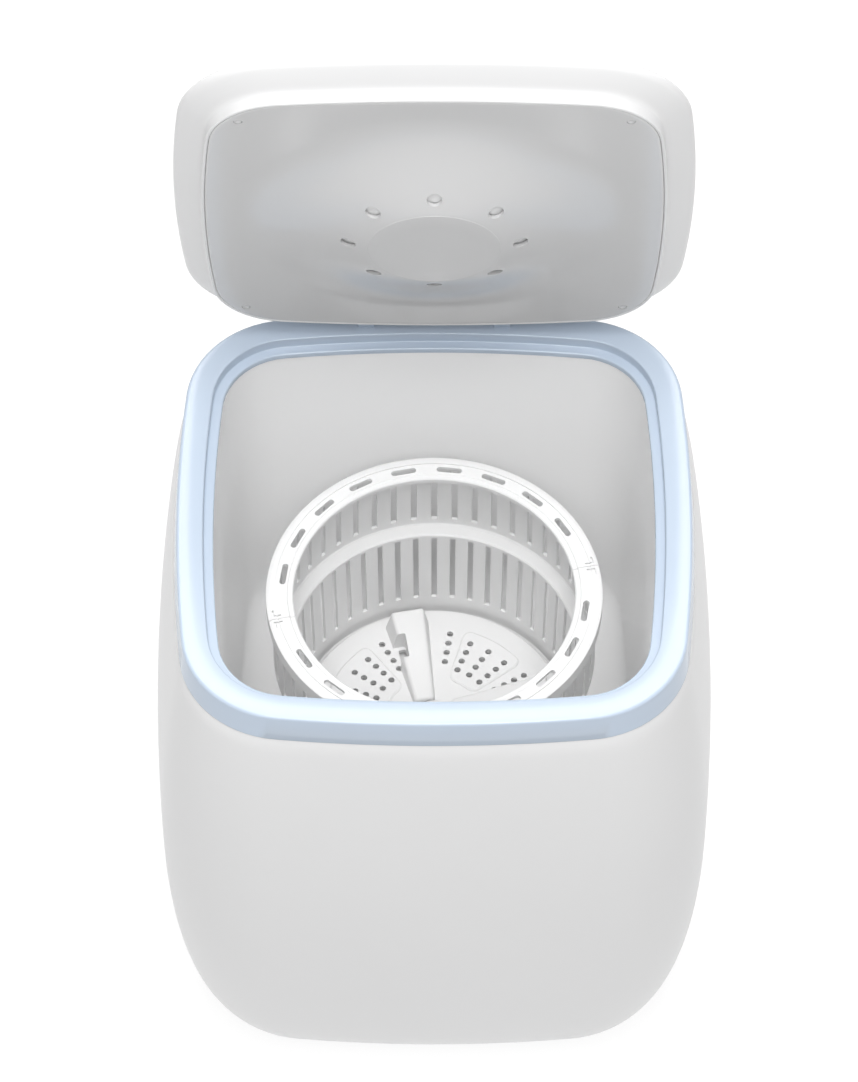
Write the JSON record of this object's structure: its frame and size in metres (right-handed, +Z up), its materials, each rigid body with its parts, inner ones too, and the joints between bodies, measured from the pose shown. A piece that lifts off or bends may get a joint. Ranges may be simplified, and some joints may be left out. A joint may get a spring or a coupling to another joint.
{
  "type": "mini washing machine",
  "caption": "Compact top-loading washing machine: egg-shaped casing, ring bezel, hinged domed lid, slotted spin basket and ridged pulsator in a rounded-square tub.",
  "frame": {"origin": "on the floor under the drum axis, centre of the plane of the four feet", "axes": "+Z up along the drum axis, -Y to the front, +X to the right of someone facing the front"},
  "size_m": [0.3746, 0.369, 0.7612],
  "materials": {
    "casing_white": "white gloss",
    "bezel_blue": "pale blue satin gloss",
    "liner_grey": "light grey gloss",
    "tub_grey": "light grey gloss",
    "basket_white": "white satin",
    "pulsator_white": "white satin",
    "base_grey": "light grey matt",
    "dark_plastic": "dark grey matt",
    "rubber": "black rubber",
    "board_green": "green board",
    "cast_alloy": "die-cast",
    "motor_steel": "zinc-plated sheet",
    "bush_brass": "sintered",
    "steel": "bright steel"
  },
  "bodies": {
    "cabinet": {"outer_casing": "casing_white", "top_bezel": "bezel_blue", "inner_tub": "tub_grey", "base_plate": "base_grey", "rubber_feet": "rubber", "base_screws": "steel", "tub_screws": "steel", "bearing_housing": "cast_alloy", "housing_screws": "steel", "upper_bearing": "steel", "lower_bearing": "steel", "shaft_seal": "rubber", "drive_plate": "motor_steel", "plate_dampers": "rubber", "plate_screws": "steel", "motor_body": "motor_steel", "motor_screws": "steel", "drive_belt": "rubber", "run_capacitor": "base_grey", "pump_housing": "base_grey", "pump_motor": "dark_plastic", "pump_mount": "rubber", "sump_hose": "rubber", "rear_panel": "casing_white", "cord_gland": "dark_plastic", "drain_spigot": "dark_plastic", "control_board": "board_green", "board_screws": "steel", "reed_switch": "dark_plastic", "hinge_pins": "steel"},
    "lid": {"lid_shell": "casing_white", "lid_liner": "liner_grey", "lid_screws": "steel", "lid_magnet": "steel"},
    "basket": {"spin_basket": "basket_white", "basket_ring_back": "basket_white", "basket_ring_front": "basket_white", "basket_screws": "steel", "spin_tube": "steel", "shaft_bushes": "bush_brass", "clutch_drum": "cast_alloy"},
    "pulsator": {"pulsator": "pulsator_white", "pulsator_screw": "steel", "wash_shaft": "steel", "driven_pulley": "cast_alloy", "pulley_nut": "steel"},
    "motor_rotor": {"motor_shaft": "steel", "motor_pulley": "cast_alloy"},
    "pump_rotor": {"pump_impeller": "dark_plastic"}
  },
  "joints": [
    {"name": "lid_hinge", "type": "hinge", "parent": "cabinet", "child": "lid", "pos_m": [0, 0.16, 0.437], "axis": [1, 0, 0], "range_deg": [0, 81.2]},
    {"name": "basket_spin", "type": "hinge", "parent": "cabinet", "child": "basket", "pos_m": [0, 0, 0.2], "axis": [0, 0, 1], "continuous": true},
    {"name": "pulsator_spin", "type": "hinge", "parent": "cabinet", "child": "pulsator", "pos_m": [0, 0, 0.2], "axis": [0, 0, 1], "continuous": true},
    {"name": "motor_spin", "type": "hinge", "parent": "cabinet", "child": "motor_rotor", "pos_m": [0.085, -0.075, 0.05], "axis": [0, 0, 1], "continuous": true},
    {"name": "pump_spin", "type": "hinge", "parent": "cabinet", "child": "pump_rotor", "pos_m": [-0.045, 0.08, 0.08], "axis": [0, 0, 1], "continuous": true}
  ],
  "couplings": [
    {"joint": "motor_spin", "follows": "pulsator_spin", "ratio": 4}
  ]
}
